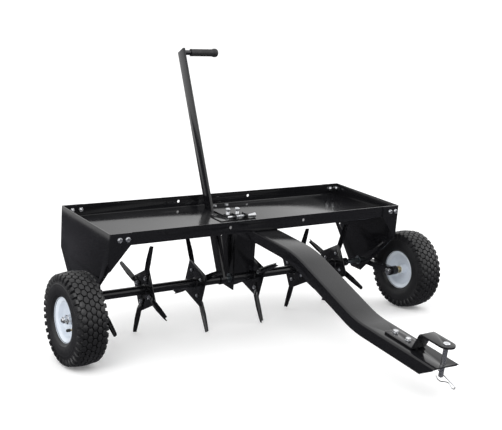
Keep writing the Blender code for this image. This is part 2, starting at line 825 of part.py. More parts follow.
def main():
    for obj in list(bpy.data.objects):
        bpy.data.objects.remove(obj)
    finishes = {
        "black": material("black_powder_coat", (0.014, 0.014, 0.016), 0.32, 0.0),
        "zinc": material("bright_zinc", (0.70, 0.71, 0.72), 0.28, 1.0),
        "brass": material("yellow_zinc", (0.62, 0.50, 0.30), 0.30, 1.0),
        "rim": material("pale_rim_paint", (0.62, 0.68, 0.76), 0.35, 0.0),
        "tyre": material("tyre_rubber", (0.020, 0.020, 0.021), 0.75, 0.0),
        "grip": material("grip_rubber", (0.018, 0.018, 0.020), 0.60, 0.0),
    }
    machine = empty("machine")
    machine.rotation_euler.x = PITCH
    build_frame(machine, finishes)
    build_hitch(machine, finishes)
    build_lift(machine, finishes)
    build_gangs(machine, finishes)
    stand_on_ground(machine)


main()
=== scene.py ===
"""Looks of the core aerator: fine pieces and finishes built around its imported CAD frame.

Shapes are built in the machine's own frame, in metres: the origin is on the tine axle, X runs
across the machine, -Y points forwards along the tow bar and Z points up from the tray.
"""

import json
from math import atan2, cos, pi, radians, sin, tan

import bmesh
import bpy
from mathutils import Matrix, Vector


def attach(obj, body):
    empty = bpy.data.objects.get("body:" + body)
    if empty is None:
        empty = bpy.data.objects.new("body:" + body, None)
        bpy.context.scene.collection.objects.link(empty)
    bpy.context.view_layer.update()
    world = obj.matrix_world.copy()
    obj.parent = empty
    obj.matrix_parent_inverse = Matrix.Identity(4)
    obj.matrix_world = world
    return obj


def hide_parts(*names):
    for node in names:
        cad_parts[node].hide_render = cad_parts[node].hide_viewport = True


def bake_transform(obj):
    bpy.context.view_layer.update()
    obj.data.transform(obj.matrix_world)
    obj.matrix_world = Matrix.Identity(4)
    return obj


GAP = 0.0003
PITCH = radians(7.5)

# Wheels and cranks
TYRE_RADIUS = 0.127
TREAD_DEPTH = 0.0060
TREAD_ROWS = 38
TREAD_COLUMN = 0.0135
RIM_RADIUS = 0.062
BEAD_RADIUS = 0.053
WHEEL_X = 0.593
CRANK_LENGTH = 0.145
CRANK_RISE = radians(1.8)
CRANK_INNER_X = 0.517
CRANK_OUTER_X = 0.547
WHEEL_BOLT_RADIUS = 0.0063
HUB_RADIUS = 0.015
VALVE_PLACE = (-0.0385, -0.0145)

# Tray and end panels
TRAY_HALF_LENGTH = 0.5073
TRAY_FRONT = -0.1617
TRAY_REAR = 0.1517
TRAY_RIM = 0.233
TRAY_FLOOR = 0.198
TRAY_SHEET = 0.002
FLANGE_HOLE_X = 0.130
FLANGE_HOLE_HEIGHT = 0.217
BOLT_HOLE = 0.0045
PANEL_SHEET = 0.0025
PANEL_OUTER_X = 0.5108
PANEL_FLANGE = 0.065
PANEL_FOOT = -0.031
BUSH_HOLE = 0.0107

# Axle, shafts and tines
AXLE_RADIUS = 0.008
TUBE_RADIUS = 0.0135
TUBE_BORE = 0.0085
LEFT_TUBE = (-0.505, -0.055)
RIGHT_TUBE = (-0.008, 0.455)
PLATE_HALF_DIAGONAL = 0.072
PLATE_SHEET = 0.003
TINE_ROOT = 0.026
TINE_REACH = 0.153
TINE_SHEET = 0.0024
TINE_BOLT = 0.040
LEFT_STARS = ((-0.474, 26, 1), (-0.310, 15, -1), (-0.137, -30, 1))
RIGHT_STARS = ((0.0745, -30, -1), (0.241, 15, 1), (0.400, 15, 1))

# Lever and latch
LEVER_LEAN = radians(26)
LEVER_X = -0.042
LEVER_SHEET = 0.008
LEVER_DEPTH = 0.036
LEVER_LENGTH = 0.741
GRIP_RADIUS = 0.012
LATCH_Y = -0.030
LATCH_HEIGHT = 0.206
LATCH_RADIUS = 0.0035
LATCH_BASE = 0.002
EAR_PLACES = (-0.0345, 0.0020)
EAR_SHEET = 0.003
SPRING_SPAN = (-0.0286, 0.0020)

# Tow bar and hitch
BAR_HALF_WIDTH = 0.041
BAR_DEPTH = 0.034
BAR_SHEET = 0.003
BAR_PATH = (
    (-0.024, 0.1957),
    (-0.175, 0.1957),
    (-0.346, 0.1883),
    (-0.628, 0.0912),
    (-0.917, 0.0714),
)
BAR_BENDS = (0.9, 0.36, 0.26)
STRAP_HALF_WIDTH = 0.022
STRAP_SHEET = 0.005
STRAP_RISE = 0.0465
HITCH_Y = -0.904
HITCH_BOLTS = (0.169, 0.123)
PIN_RADIUS = 0.006
CLIP_SLOPE = radians(14)
CLIP_WIRE = 0.00125

# Camera, in the machine's frame
CAMERA_PLACE = (-1.6089, -2.3695, 0.9522)
CAMERA_FORWARD = (0.5549, 0.7926, -0.2526)
CAMERA_DOWN = (-0.0815, -0.2504, -0.9647)
CAMERA_LENS = 69.35


# ---- shape tools


def object_of(mesh_data, name="shape"):
    mesh = bpy.data.meshes.new(name)
    mesh_data.to_mesh(mesh)
    mesh_data.free()
    made = bpy.data.objects.new(name, mesh)
    bpy.context.scene.collection.objects.link(made)
    return made


def solid(bm):
    """The closed mesh with its faces turned outwards."""
    if bm.calc_volume(signed=True) < 0:
        bmesh.ops.reverse_faces(bm, faces=bm.faces)
    return object_of(bm)


def skin(bm, rings, cyclic=False):
    """Adds a skin over rings of equally many points, capped at both ends or joined end to end."""
    loops = [[bm.verts.new(point) for point in ring] for ring in rings]
    pairs = list(zip(loops, loops[1:]))
    if cyclic:
        pairs.append((loops[-1], loops[0]))
        faces = []
    else:
        faces = [bm.faces.new(reversed(loops[0])), bm.faces.new(loops[-1])]
    for first, second in pairs:
        for i in range(len(first)):
            j = (i + 1) % len(first)
            faces.append(bm.faces.new((first[i], first[j], second[j], second[i])))
    bmesh.ops.recalc_face_normals(bm, faces=faces)


def loft(rings, cyclic=False):
    bm = bmesh.new()
    skin(bm, rings, cyclic)
    return solid(bm)


def prism(outline, low, high, axis="X"):
    """An outline extruded along an axis. Its points are (y, z), (x, z) or (x, y)."""
    place = {
        "X": lambda a, b, c: (c, a, b),
        "Y": lambda a, b, c: (a, c, b),
        "Z": lambda a, b, c: (a, b, c),
    }[axis]
    return loft([[place(a, b, c) for a, b in outline] for c in (low, high)])


def block(low, high):
    outline = ((low[0], low[1]), (high[0], low[1]), (high[0], high[1]), (low[0], high[1]))
    return prism(outline, low[2], high[2], "Z")


def polar(radius, angle):
    return radius * cos(angle), radius * sin(angle)


def circle(radius, sides, centre=(0.0, 0.0)):
    points = [polar(radius, 2 * pi * i / sides) for i in range(sides)]
    return [(centre[0] + a, centre[1] + b) for a, b in points]


def rod(radius, low, high, axis="X", centre=(0.0, 0.0), sides=32):
    return prism(circle(radius, sides, centre), low, high, axis)


def turned(profile, sides=96):
    """A closed (x, radius) profile turned about the X axis."""
    rings = []
    for i in range(sides):
        angle = 2 * pi * i / sides
        rings.append([(x, *polar(r, angle)) for x, r in profile])
    return loft(rings, cyclic=True)


def stacked(sections, sides=36):
    """Sections stacked along +Z: (z, radius) is round and (z, radius, True) is a hexagon."""
    rings = []
    for z, radius, *is_hexagon in sections:
        ring = []
        for i in range(sides):
            angle = 2 * pi * i / sides
            reach = radius
            if is_hexagon:
                reach *= cos(pi / 6) / cos(angle % (pi / 3) - pi / 6)
            ring.append((*polar(reach, angle), z))
        rings.append(ring)
    return loft(rings)


def tube_along(points, radius, sides=12):
    """A round wire through the points, each ring square to the path."""
    path = [Vector(point) for point in points]
    rings = []
    side = None
    for i, here in enumerate(path):
        along = (path[min(i + 1, len(path) - 1)] - path[max(i - 1, 0)]).normalized()
        if side is None:
            side = along.orthogonal().normalized()
        side = (side - along * side.dot(along)).normalized()
        up = along.cross(side)
        ring = []
        for k in range(sides):
            a, b = polar(radius, 2 * pi * k / sides)
            ring.append(here + side * a + up * b)
        rings.append(ring)
    return loft(rings)


def filleted(points, radii, steps=8):
    """The open polyline with each inner corner rounded by an arc."""
    path = [Vector(point) for point in points]
    result = [path[0]]
    for i in range(1, len(path) - 1):
        before = (path[i - 1] - path[i]).normalized()
        after = (path[i + 1] - path[i]).normalized()
        half = before.angle(after) / 2
        radius = radii[i - 1]
        centre = path[i] + (before + after).normalized() * (radius / sin(half))
        start = path[i] + before * (radius / tan(half)) - centre
        end = path[i] + after * (radius / tan(half)) - centre
        sweep = start.angle(end)
        for k in range(steps + 1):
            turn = sweep * k / steps
            result.append(centre + (start * sin(sweep - turn) + end * sin(turn)) / sin(sweep))
    result.append(path[-1])
    return result


def thickened(points, thickness):
    """The closed outline of a sheet whose middle follows the open polyline."""
    sides = ([], [])
    for i, here in enumerate(points):
        before = points[max(i - 1, 0)]
        after = points[min(i + 1, len(points) - 1)]
        first = (here - before).normalized() if i else (after - here).normalized()
        second = (after - here).normalized() if i < len(points) - 1 else first
        normal = Vector((-(first + second).y, (first + second).x)).normalized()
        reach = thickness / 2 / max(normal.dot(Vector((-first.y, first.x))), 0.5)
        sides[0].append(here + normal * reach)
        sides[1].append(here - normal * reach)
    return [tuple(point) for point in sides[0] + sides[1][::-1]]


def smooth_path(points, steps=6):
    """A smooth curve through the points."""
    path = [Vector(point) for point in points]
    result = []
    for i in range(len(path) - 1):
        before = path[max(i - 1, 0)]
        start, end = path[i], path[i + 1]
        after = path[min(i + 2, len(path) - 1)]
        for k in range(steps):
            t = k / steps
            bend = start * 2 + (end - before) * t
            bend += (before * 2 - start * 5 + end * 4 - after) * t**2
            bend += (start * 3 - before - end * 3 + after) * t**3
            result.append(bend / 2)
    result.append(path[-1])
    return result


def applied(shape):
    """The shape with its modifiers made part of its mesh."""
    bpy.context.view_layer.update()
    graph = bpy.context.evaluated_depsgraph_get()
    result = bpy.data.meshes.new_from_object(shape.evaluated_get(graph))
    shape.modifiers.clear()
    shape.data = result
    return shape


def combined(base, others, operation):
    """The base after exact Booleans with the others, which are used up."""
    for other in others:
        modifier = base.modifiers.new(operation, "BOOLEAN")
        modifier.operation = operation
        modifier.object = other
        modifier.solver = "EXACT"
        applied(base)
        bpy.data.objects.remove(other)
    return base


def united(*parts):
    return combined(parts[0], parts[1:], "UNION")


def cut(base, *cutters):
    return combined(base, cutters, "DIFFERENCE")


def kept_inside(base, *limits):
    return combined(base, limits, "INTERSECT")


def bevelled(shape, width, segments=2):
    """The shape with its sharp edges rounded."""
    modifier = shape.modifiers.new("edge", "BEVEL")
    modifier.width = width
    modifier.segments = segments
    modifier.limit_method = "ANGLE"
    modifier.angle_limit = radians(40)
    return applied(shape)


def joined(shapes):
    """Several shapes as one mesh, left as they are."""
    bm = bmesh.new()
    for shape in shapes:
        bm.from_mesh(shape.data)
        bpy.data.objects.remove(shape)
    return object_of(bm)


def moved(shape, matrix):
    shape.data.transform(matrix)
    if matrix.determinant() < 0:
        shape.data.flip_normals()
    return shape


def at(x, y, z):
    return Matrix.Translation((x, y, z))


def lean(angle):
    """Turns +Y towards +Z about the X axis."""
    return Matrix.Rotation(angle, 4, "X")


def mirrored(shape):
    return moved(shape, Matrix.Scale(-1, 4, (1, 0, 0)))


def beyond(start, end, share=1.06):
    """The point on the line from start to end, a little past its end."""
    return tuple(a + (b - a) * share for a, b in zip(start, end))


def piece(name, shape, finish, body, nodes=()):
    """Gives a shape built in the machine's frame its finish, and lets it ride on a CAD body."""
    moved(shape, MACHINE)
    shape.name = name
    shape.data.name = name
    shape.data.materials.clear()
    shape.data.materials.append(finish)
    shape.data.shade_smooth()
    shape.data.set_sharp_from_angle(angle=radians(32))
    if nodes:
        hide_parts(*nodes)
    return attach(shape, body) if body else shape


# ---- finishes


class Finish:
    """A procedural material built on a Principled BSDF, with textures fixed to the piece."""

    def __init__(self, slot, shade="finish"):
        self.material = bpy.data.materials.new(f"{slot}_{shade}")
        self.material["slot"] = slot
        self.material.use_nodes = True
        self.tree = self.material.node_tree
        self.shader = self.tree.nodes["Principled BSDF"]
        self.coordinates = self.tree.nodes.new("ShaderNodeTexCoord")

    def settings(self, **values):
        for name, value in values.items():
            self.shader.inputs[name.replace("_", " ")].default_value = value

    def noise(self, scale, detail=3.0, roughness=0.5):
        made = self.tree.nodes.new("ShaderNodeTexNoise")
        made.inputs["Scale"].default_value = scale
        made.inputs["Detail"].default_value = detail
        made.inputs["Roughness"].default_value = roughness
        self.tree.links.new(self.coordinates.outputs["Object"], made.inputs["Vector"])
        return made.outputs["Fac"]

    def ranged(self, value, source, target):
        """The value with one range turned into another, and clamped to it."""
        made = self.tree.nodes.new("ShaderNodeMapRange")
        self.tree.links.new(value, made.inputs["Value"])
        for socket, number in zip(("From Min", "From Max", "To Min", "To Max"), (*source, *target)):
            made.inputs[socket].default_value = number
        return made.outputs["Result"]

    def product(self, first, second):
        made = self.tree.nodes.new("ShaderNodeMath")
        made.operation = "MULTIPLY"
        self.tree.links.new(first, made.inputs[0])
        self.tree.links.new(second, made.inputs[1])
        return made.outputs[0]

    def facing_up(self):
        """How far the surface faces upwards, from 0 to 1."""
        split = self.tree.nodes.new("ShaderNodeSeparateXYZ")
        self.tree.links.new(self.coordinates.outputs["Normal"], split.inputs[0])
        return self.ranged(split.outputs["Z"], (0.2, 0.95), (0.0, 1.0))

    def mixed(self, share, first, second):
        made = self.tree.nodes.new("ShaderNodeMix")
        made.data_type = "RGBA"
        made.inputs["A"].default_value = (*first, 1.0)
        made.inputs["B"].default_value = (*second, 1.0)
        self.tree.links.new(share, made.inputs["Factor"])
        return made.outputs["Result"]

    def colour(self, output):
        self.tree.links.new(output, self.shader.inputs["Base Color"])

    def rough(self, output):
        self.tree.links.new(output, self.shader.inputs["Roughness"])

    def bump(self, height, strength, distance):
        made = self.tree.nodes.new("ShaderNodeBump")
        made.inputs["Strength"].default_value = strength
        made.inputs["Distance"].default_value = distance
        self.tree.links.new(height, made.inputs["Height"])
        self.tree.links.new(made.outputs["Normal"], self.shader.inputs["Normal"])


def coating(slot, settings, clouds, tones, gloss, grain, shade="finish", dusty=False):
    """A finish that drifts between two tones and between two glosses, with a fine grain.

    clouds: a noise, and the span of it that runs from the first tone to the second.
    gloss: a noise, and the roughness at either end. grain: a noise, its strength and its depth.
    """
    finish = Finish(slot, shade)
    finish.settings(**settings)
    noise, span = clouds
    share = finish.ranged(finish.noise(*noise), span, (0.0, 1.0))
    if dusty:
        share = finish.product(share, finish.facing_up())
    finish.colour(finish.mixed(share, *tones))
    noise, roughness = gloss
    finish.rough(finish.ranged(finish.noise(*noise), (0.3, 0.7), roughness))
    noise, strength, depth = grain
    finish.bump(finish.noise(*noise), strength, depth)
    return finish.material


def powder_coat():
    """Near-black gloss powder coat with orange peel, and faint dust where it faces up."""
    return coating(
        "black_powder_coat",
        {"Metallic": 0.0, "IOR": 1.47},
        ((9.0, 5.0, 0.6), (0.35, 0.7)),
        ((0.0058, 0.0058, 0.0068), (0.0125, 0.0125, 0.0140)),
        ((14.0, 4.0, 0.6), (0.10, 0.15)), ((420.0, 2.0, 0.5), 0.10, 0.0003),
        dusty=True,
    )


def bright_zinc():
    """Bright zinc plate with cloudy patches and fine drawing marks."""
    return coating(
        "bright_zinc",
        {"Metallic": 1.0},
        ((160.0, 4.0, 0.6), (0.3, 0.7)), ((0.60, 0.61, 0.63), (0.82, 0.83, 0.85)),
        ((240.0, 3.0, 0.6), (0.20, 0.36)), ((900.0, 2.0, 0.5), 0.12, 0.0002),
    )


def yellow_zinc():
    """Yellow passivated zinc, from straw to a faint green-grey."""
    return coating(
        "yellow_zinc",
        {"Metallic": 1.0},
        ((90.0, 4.0, 0.6), (0.3, 0.7)), ((0.70, 0.55, 0.30), (0.62, 0.60, 0.46)),
        ((200.0, 3.0, 0.6), (0.24, 0.38)), ((800.0, 2.0, 0.5), 0.10, 0.0002),
    )


def dull_zinc(slot):
    """Zinc plate gone dull and blue-grey, on pieces that run against others."""
    return coating(
        slot,
        {"Metallic": 1.0},
        ((120.0, 4.0, 0.6), (0.3, 0.7)), ((0.13, 0.15, 0.16), (0.24, 0.26, 0.28)),
        ((200.0, 3.0, 0.6), (0.34, 0.50)), ((700.0, 2.0, 0.5), 0.12, 0.0002),
        shade="dull",
    )


def rim_paint():
    """Pale blue-grey stove enamel on pressed steel, slightly uneven in gloss."""
    return coating(
        "rim_paint",
        {"Metallic": 0.0, "IOR": 1.5, "Coat_Weight": 0.25, "Coat_Roughness": 0.12},
        ((22.0, 4.0, 0.55), (0.3, 0.7)), ((0.58, 0.63, 0.70), (0.66, 0.71, 0.77)),
        ((30.0, 4.0, 0.6), (0.28, 0.42)), ((380.0, 2.0, 0.5), 0.10, 0.0003),
    )


def tyre_rubber():
    """Moulded black rubber, matt, with a fine grain and paler bloom in places."""
    return coating(
        "tyre_rubber",
        {"Metallic": 0.0, "IOR": 1.5},
        ((18.0, 5.0, 0.65), (0.4, 0.75)),
        ((0.0060, 0.0060, 0.0070), (0.0125, 0.0125, 0.0140)),
        ((60.0, 4.0, 0.6), (0.36, 0.52)), ((1100.0, 3.0, 0.6), 0.25, 0.0003),
    )


def grip_rubber():
    """Soft black moulded rubber with a stippled skin."""
    return coating(
        "grip_rubber",
        {"Metallic": 0.0, "IOR": 1.48},
        ((60.0, 4.0, 0.6), (0.4, 0.7)), ((0.011, 0.011, 0.012), (0.020, 0.020, 0.021)),
        ((150.0, 3.0, 0.6), (0.42, 0.60)), ((1500.0, 2.0, 0.5), 0.35, 0.0004),
    )


# ---- fasteners


def threaded(low, high, radius, pitch=0.00125):
    """Sections of a thread from low to high, for stacked()."""
    turns = max(1, round((high - low) / pitch))
    step = (high - low) / turns
    sections = []
    for i in range(turns):
        sections.append((low + step * i, radius - 0.0006))
        sections.append((low + step * (i + 0.5), radius))
    sections.append((high, radius - 0.0008))
    return sections


def hexagon(low, height, radius, washer=0.0):
    """Sections of a chamfered hexagon, on a washer face if it has one."""
    sections = []
    if washer:
        sections.append((low, washer))
        sections.append((low + 0.0009, washer))
        low += 0.0009
        height -= 0.0009
    flat = radius * cos(pi / 6)
    sections.append((low, flat * 0.99))
    sections.append((low + height * 0.10, radius, True))
    sections.append((low + height * 0.84, radius, True))
    sections.append((low + height, flat * 0.94))
    return sections


def small_bolt(radius, height):
    """A flanged hexagon head standing on Z = 0."""
    sections = hexagon(0.0, height, radius, washer=radius * 1.12)
    return stacked([*sections, (height - 0.0004, radius * 0.55)])


def small_nut(radius, height, stub=0.0030):
    """A nut standing on Z = 0 with a short threaded bolt end through it."""
    return stacked(hexagon(0.0, height, radius) + threaded(height, height + stub, radius * 0.5))


def pointing(shape, direction, place):
    """Turns a shape built along +Z to point in a direction, standing at a place."""
    turn = Vector((0.0, 0.0, 1.0)).rotation_difference(Vector(direction)).to_matrix().to_4x4()
    return moved(shape, at(*place) @ turn)


# ---- tray and panels


def tray():
    """A shallow trough bent from one sheet, with the lever's slot and two holes in each flange."""
    half = TRAY_SHEET / 2
    corners = (
        (TRAY_FRONT + half, TRAY_RIM), (TRAY_FRONT + half, TRAY_FLOOR - half),
        (TRAY_REAR - half, TRAY_FLOOR - half), (TRAY_REAR - half, TRAY_RIM),
    )
    path = filleted(corners, (0.003, 0.003))
    trough = prism(thickened(path, TRAY_SHEET), -TRAY_HALF_LENGTH, TRAY_HALF_LENGTH)
    low, high = TRAY_FLOOR - 0.01, TRAY_FLOOR + 0.01
    slot = block((LEVER_X - 0.006, -0.038, low), (LEVER_X + 0.006, 0.122, high))
    holes = []
    for side in (-1, 1):
        for middle, shift in ((TRAY_FRONT, 0.0), (TRAY_REAR, 0.0065)):
            place = (side * FLANGE_HOLE_X + shift, FLANGE_HOLE_HEIGHT)
            holes.append(rod(BOLT_HOLE, middle - 0.01, middle + 0.01, "Y", place))
    return bevelled(cut(trough, slot, *holes), 0.0004)


def end_panel(side):
    """A folded side sheet with a triangular flange in front of and behind the tray."""
    half = PANEL_SHEET / 2
    front = TRAY_FRONT - GAP - half
    rear = TRAY_REAR + GAP + half
    outer = PANEL_OUTER_X - half
    inner = PANEL_OUTER_X - PANEL_FLANGE
    corners = ((inner, front), (outer, front), (outer, rear), (inner, rear))
    plan = filleted(corners, (0.0027, 0.0027))
    sheet = prism(thickened(plan, PANEL_SHEET), PANEL_FOOT, TRAY_RIM, "Z")
    above = TRAY_RIM + 0.01
    below = PANEL_FOOT - 0.01
    profile = (
        (front - 0.01, above),
        beyond((-0.016, PANEL_FOOT), (front - half, 0.130)),
        beyond((front - half, 0.130), (-0.016, PANEL_FOOT)),
        beyond((rear + half, 0.114), (0.034, PANEL_FOOT)),
        beyond((0.034, PANEL_FOOT), (rear + half, 0.114)),
        (rear + 0.01, above),
    )
    flange_shape = (
        (PANEL_OUTER_X + 0.01, below), (PANEL_OUTER_X + 0.01, above), (inner - 0.01, above),
        (inner - 0.01, TRAY_FLOOR - 0.0095), (inner, TRAY_FLOOR + 0.002),
        (PANEL_OUTER_X - 0.006, 0.130), (PANEL_OUTER_X - 0.006, below),
    )
    sheet = kept_inside(sheet, prism(profile, 0.0, 1.0), prism(flange_shape, -1.0, 1.0, "Y"))
    span = (PANEL_OUTER_X - 0.01, PANEL_OUTER_X + 0.01)
    sheet = cut(
        sheet,
        rod(BUSH_HOLE, *span),
        rod(0.003, *span, centre=(-0.110, 0.095)),
        rod(0.003, *span, centre=(0.116, 0.098)),
    )
    bevelled(sheet, 0.0004)
    return sheet if side > 0 else mirrored(sheet)


def centre_bearing_plate():
    """The hanger under the middle of the tray, with a wide front flange and a narrow rear one."""
    top = TRAY_FLOOR - TRAY_SHEET - GAP
    left = -0.013
    web_outline = (
        (-0.022, top), (-0.022, -0.033), (0.034, -0.031), (0.070, 0.003), (0.112, 0.112),
        (0.125, top),
    )
    web = prism(web_outline, left, left + BAR_SHEET)
    front = block((left, -0.022, 0.020), (0.060, -0.022 + BAR_SHEET, top))
    rear_outline = (
        (0.112, 0.112), (0.112 - BAR_SHEET, 0.112), (0.125 - BAR_SHEET, top), (0.125, top),
    )
    rear = prism(rear_outline, left - 0.037, left + BAR_SHEET)
    plate = united(web, front, rear)
    plate = cut(
        plate,
        rod(BUSH_HOLE, left - 0.005, left + 0.01),
        rod(BOLT_HOLE, left - 0.005, left + 0.01, centre=(0.065, 0.122)),
    )
    return bevelled(plate, 0.0005)


def axle_bush(low, high, flange_low, flange_high):
    """A flanged bearing ring that lines the axle hole of a sheet."""
    bore = AXLE_RADIUS + GAP
    if flange_low == low:
        profile = [(low, bore), (low, 0.0136), (low + 0.0004, 0.0140), (flange_high, 0.0140)]
        profile += [(flange_high, 0.0104), (high - 0.0004, 0.0104), (high, 0.0100), (high, bore)]
    else:
        profile = [(low, bore), (low, 0.0100), (low + 0.0004, 0.0104), (flange_low, 0.0104)]
        profile += [(flange_low, 0.0140), (high - 0.0004, 0.0140), (high, 0.0136), (high, bore)]
    return turned(profile, 48)


def tray_fasteners():
    """Bolts and nuts that hold the panels, the tray, the centre plate and the tow bar together."""
    front = TRAY_FRONT - GAP - PANEL_SHEET
    rear = TRAY_REAR + GAP + PANEL_SHEET
    inside = TRAY_FRONT + TRAY_SHEET
    pairs = [(x, front, inside, 0.2145, -1) for x in (-0.481, -0.457, 0.476, 0.498)]
    inside = TRAY_REAR - TRAY_SHEET
    pairs += [(x, rear, inside, 0.2175, 1) for x in (-0.479, -0.452, 0.477, 0.504)]
    shapes = []
    for x, outside, inside, z, way in pairs:
        shapes.append(pointing(small_bolt(0.0066, 0.0045), (0, way, 0), (x, outside, z)))
        shapes.append(pointing(small_nut(0.0070, 0.0050), (0, -way, 0), (x, inside, z)))
    for x, y in ((-0.003, 0.128), (0.041, 0.128)):
        shapes.append(pointing(small_bolt(0.0066, 0.0045), (0, 0, 1), (x, y, TRAY_FLOOR)))
    return joined(shapes)


# ---- tow bar and hitch


def bar_frames():
    """Points along the tow bar's top, each with the direction square to it."""
    path = filleted(BAR_PATH, BAR_BENDS, steps=14)
    frames = []
    for i, here in enumerate(path):
        along = (path[min(i + 1, len(path) - 1)] - path[max(i - 1, 0)]).normalized()
        frames.append((here, Vector((along.y, -along.x))))
    return frames


def channel_section():
    """The bar's inverted channel as (x, depth below its top), with rounded bends."""
    half = BAR_SHEET / 2
    side = BAR_HALF_WIDTH - half
    corners = ((-side, -BAR_DEPTH), (-side, -half), (side, -half), (side, -BAR_DEPTH))
    return thickened(filleted(corners, (0.004, 0.004)), BAR_SHEET)


def hitch_frame():
    """Where the hitch pin meets the tow bar's top, with +Z square to the bar there."""
    (start_y, start_z), (end_y, end_z) = BAR_PATH[-2:]
    slope = atan2(start_z - end_z, start_y - end_y)
    height = end_z + (HITCH_Y - end_y) * tan(slope)
    return at(0.0, HITCH_Y, height) @ lean(slope)


def hitch_hole(radius, y=0.0):
    """A cutter square to the bar's nose, at a distance behind the hitch pin."""
    return moved(rod(radius, -0.02, 0.08, "Z", (0.0, y)), hitch_frame())


def tow_bar():
    """The channel that runs forwards and down from the tray to the hitch."""
    section = channel_section()
    rings = []
    for here, up in bar_frames():
        rise = up if up.y > 0 else -up
        ring = []
        for x, height in section:
            place = here + rise * height
            ring.append((x, place.x, place.y))
        rings.append(ring)
    bar = loft(rings)
    nose = ((-0.872, 0.020), (-0.872, 0.0414), (-0.910, 0.0624))
    nose += ((-0.914, 0.0679), (-0.940, 0.0674), (-0.940, 0.020))
    holes = [hitch_hole(BOLT_HOLE, y) for y in HITCH_BOLTS]
    bar = cut(bar, prism(nose, -0.1, 0.1), hitch_hole(PIN_RADIUS + 0.0007), *holes)
    return bevelled(bar, 0.0005)


def hitch_strap():
    """A flat bent up and forwards to hold the top of the hitch pin."""
    base = GAP + STRAP_SHEET / 2
    top = base + STRAP_RISE
    corners = ((0.189, base), (0.086, base), (0.067, top), (-0.0210, top))
    outline = thickened(filleted(corners, (0.006, 0.008)), STRAP_SHEET)
    strap = prism(outline, -STRAP_HALF_WIDTH, STRAP_HALF_WIDTH)
    reach = STRAP_HALF_WIDTH + 0.0005
    nose = [(x, y + 0.0015) for x, y in (polar(reach, pi + pi * i / 32) for i in range(33))]
    tail = [(reach, 0.183), (reach - 0.006, 0.1895), (-reach + 0.006, 0.1895), (-reach, 0.183)]
    strap = kept_inside(strap, prism([*nose, *tail], -0.1, 0.1, "Z"))
    strap = moved(strap, hitch_frame())
    holes = [hitch_hole(BOLT_HOLE, y) for y in HITCH_BOLTS]
    return bevelled(cut(strap, hitch_hole(PIN_RADIUS + 0.0007), *holes), 0.0006)


def hitch_bolt(y):
    """A hexagon bolt down through the strap and the bar, with its nut under the bar."""
    seat = STRAP_SHEET + 2 * GAP
    shape = stacked(
        [
            *threaded(-0.016, -0.0105, 0.004), (-0.0105, 0.0066), (-0.0099, 0.0075, True),
            (-0.0050, 0.0075, True), (-0.0035, 0.0066), (-0.0035, 0.004), (seat, 0.004),
            *hexagon(seat, 0.0062, 0.0075, washer=0.0075),
        ]
    )
    return moved(shape, hitch_frame() @ at(0.0, y, 0.0))


def hitch_pin():
    """A domed pin with a cross hole for its clip."""
    top = STRAP_RISE + STRAP_SHEET + 2 * GAP
    sections = [
        (-0.034, 0.0038), (-0.0334, 0.0046), (-0.0318, PIN_RADIUS - 0.0001),
        (-0.0310, PIN_RADIUS), (top, PIN_RADIUS), (top, 0.0086), (top + 0.0004, 0.0088),
        (top + 0.0012, 0.0088),
    ]
    for i in range(1, 7):
        turn = i * pi / 14
        sections.append((top + 0.0012 + 0.0028 * sin(turn), 0.0088 * cos(turn)))
    shape = stacked(sections, 48)
    return moved(cut(shape, moved(rod(0.0020, -0.02, 0.02, "Y"), clip_place())), hitch_frame())


def clip_place():
    """The clip's own frame below the bar: its straight leg runs forwards and down."""
    return at(0.0, 0.0, -0.0235) @ lean(CLIP_SLOPE)


def hitch_pin_clip():
    """A sprung wire: a straight leg through the pin and a waved leg that hooks under its end."""
    leg = [(0.011, 0.0), (-0.020, 0.0), (-0.046, 0.0)]
    wave = [(-0.051, -0.002), (-0.050, -0.007), (-0.042, -0.0095), (-0.033, -0.0055)]
    wave += [(-0.024, -0.0080), (-0.016, -0.0130), (-0.008, -0.0190)]
    wave += [(0.002, -0.0210), (0.011, -0.0170)]
    path = smooth_path([(0.0, y, z) for y, z in leg + wave])
    return moved(tube_along(path, CLIP_WIRE), hitch_frame() @ clip_place())


# ---- lift


def lift_lever():
    """A flat bar from a hub on the axle up through the tray, with a stub for the grip."""
    low, high = LEVER_X - LEVER_SHEET / 2, LEVER_X + LEVER_SHEET / 2
    depth = LEVER_DEPTH / 2
    outline = ((-depth, 0.0), (depth, 0.0), (depth, LEVER_LENGTH - 0.004), (-depth, LEVER_LENGTH))
    bar = prism(outline, low, high)
    hub = rod(0.0165, LEVER_X - 0.010, LEVER_X + 0.010, sides=48)
    stub = rod(0.008, high - 0.004, 0.082, centre=(-0.0015, LEVER_LENGTH - 0.010))
    lever = cut(
        united(hub, bar, stub),
        rod(AXLE_RADIUS + GAP, LEVER_X - 0.02, LEVER_X + 0.02),
    )
    return moved(bevelled(lever, 0.0009, 3), lean(-LEVER_LEAN))


def lever_grip():
    """A moulded sleeve with finger grooves and a flared, rounded end."""
    bore = 0.008 + GAP
    profile = [(-0.011, bore), (-0.011, GRIP_RADIUS - 0.0012), (-0.0098, GRIP_RADIUS)]
    for i in range(97):
        x = -0.007 + 0.075 * i / 96
        groove = 0.0004 * (0.5 - 0.5 * cos(2 * pi * i / 6))
        profile.append((x, GRIP_RADIUS - 0.0002 - groove))
    for x, flare in ((0.0715, 0.0004), (0.0745, 0.0016), (0.078, 0.0018)):
        profile.append((x, GRIP_RADIUS + flare))
    for i in range(9):
        turn = i * pi / 16
        profile.append((0.0810 + 0.0070 * sin(turn), 0.0088 + 0.0050 * cos(turn)))
    profile.append((0.088, bore))
    place = at(0.0, -0.0015, LEVER_LENGTH - 0.010)
    return moved(turned(profile, 64), lean(-LEVER_LEAN) @ place)


